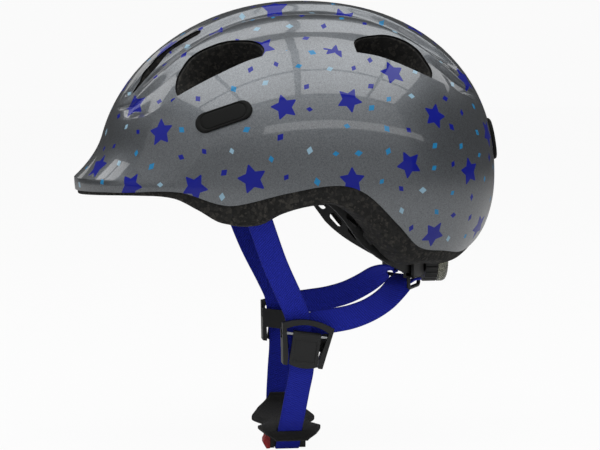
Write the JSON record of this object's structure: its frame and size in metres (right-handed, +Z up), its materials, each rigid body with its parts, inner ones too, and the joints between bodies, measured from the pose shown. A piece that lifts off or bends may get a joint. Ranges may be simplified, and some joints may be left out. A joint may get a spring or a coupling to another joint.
{
  "type": "bicycle helmet",
  "caption": "Child's bicycle helmet with a vented shell on a foam liner, side straps with dividers, a sliding chin buckle with a pad, and a rear fit ring with a dial and a light.",
  "frame": {"origin": "middle of the head space, on the middle plane, level with the temples", "axes": "-Y to the front, +X to the wearer's left, +Z up"},
  "size_m": [0.204, 0.2626, 0.277],
  "materials": {
    "shell_paint": "gloss, metallic flake under clear lacquer",
    "eps_foam": "matt, beaded foam",
    "badge_rubber": "satin",
    "pad_cloth": "brushed cloth",
    "pad_foam": "matt foam",
    "webbing": "twill weave",
    "black_plastic": "satin moulded",
    "red_plastic": "satin moulded",
    "clear_lens": "clear, ribbed",
    "circuit_board": "matt",
    "steel": "satin"
  },
  "bodies": {
    "helmet": {"outer_shell": "shell_paint", "eps_liner": "eps_foam", "side_badge_left": "badge_rubber", "side_badge_right": "badge_rubber", "rear_badge": "badge_rubber", "brow_pad": "pad_cloth", "crown_pad": "pad_cloth", "side_pad_left": "pad_cloth", "side_pad_right": "pad_cloth", "front_strap_left": "webbing", "front_strap_right": "webbing", "strap_anchor_left": "black_plastic", "strap_anchor_right": "black_plastic", "rear_strap_left": "webbing", "rear_strap_right": "webbing", "divider_frame_left": "black_plastic", "divider_frame_right": "black_plastic", "divider_pin_left": "steel", "divider_pin_right": "steel", "strap_end_left": "webbing", "chin_pad": "pad_foam", "buckle_housing": "black_plastic", "housing_magnets": "steel", "temple_clip_left": "black_plastic", "temple_clip_right": "black_plastic", "temple_pin_left": "steel", "temple_pin_right": "steel"},
    "lever_left": {"divider_lever_left": "black_plastic"},
    "lever_right": {"divider_lever_right": "black_plastic"},
    "buckle_slide": {"buckle_tongue": "black_plastic", "release_tab": "red_plastic", "tongue_magnets": "steel"},
    "arm_left": {"fit_arm_left": "black_plastic"},
    "arm_right": {"fit_arm_right": "black_plastic"},
    "cradle": {"cradle": "black_plastic", "cradle_pad": "pad_cloth"},
    "dial": {"fit_dial": "black_plastic", "light_board": "circuit_board", "coin_cell": "steel", "press_switch": "black_plastic"},
    "lens": {"light_lens": "clear_lens"}
  },
  "joints": [
    {"name": "lever_left_open", "type": "hinge", "parent": "helmet", "child": "lever_left", "pos_m": [0.0564, 0.00297, -0.07434], "axis": [0, -0.9903, 0.1392], "range_deg": [0, 80]},
    {"name": "lever_right_open", "type": "hinge", "parent": "helmet", "child": "lever_right", "pos_m": [-0.0564, 0.00297, -0.07434], "axis": [0, 0.9903, -0.1392], "range_deg": [0, 80]},
    {"name": "buckle_open", "type": "slide", "parent": "helmet", "child": "buckle_slide", "axis": [0, -1, 0], "range_m": [0, 0.016], "deforming": ["strap_end_left"]},
    {"name": "cradle_draw", "type": "slide", "parent": "helmet", "child": "cradle", "axis": [0, -1, 0], "range_m": [0, 0.00611], "deforming": ["rear_strap_left", "rear_strap_right"]},
    {"name": "arm_left_draw", "type": "hinge", "parent": "helmet", "child": "arm_left", "pos_m": [0.073, 0.005, 0], "axis": [0, 0, 1], "range_deg": [0, 4.8]},
    {"name": "arm_right_draw", "type": "hinge", "parent": "helmet", "child": "arm_right", "pos_m": [-0.073, 0.005, 0], "axis": [0, 0, -1], "range_deg": [0, 4.8]},
    {"name": "dial_turn", "type": "hinge", "parent": "cradle", "child": "dial", "pos_m": [0, 0.09, -0.0337], "axis": [0, -1, 0], "range_deg": [0, 91]},
    {"name": "lens_press", "type": "slide", "parent": "dial", "child": "lens", "axis": [0, -1, 0], "range_m": [0, 0.0008], "stiffness_N_per_m": 600}
  ],
  "couplings": [
    {"joint": "dial_turn", "follows": "cradle_draw", "rad_per_m": 257.15},
    {"joint": "arm_left_draw", "follows": "cradle_draw", "rad_per_m": 13.715},
    {"joint": "arm_right_draw", "follows": "cradle_draw", "rad_per_m": 13.715}
  ]
}
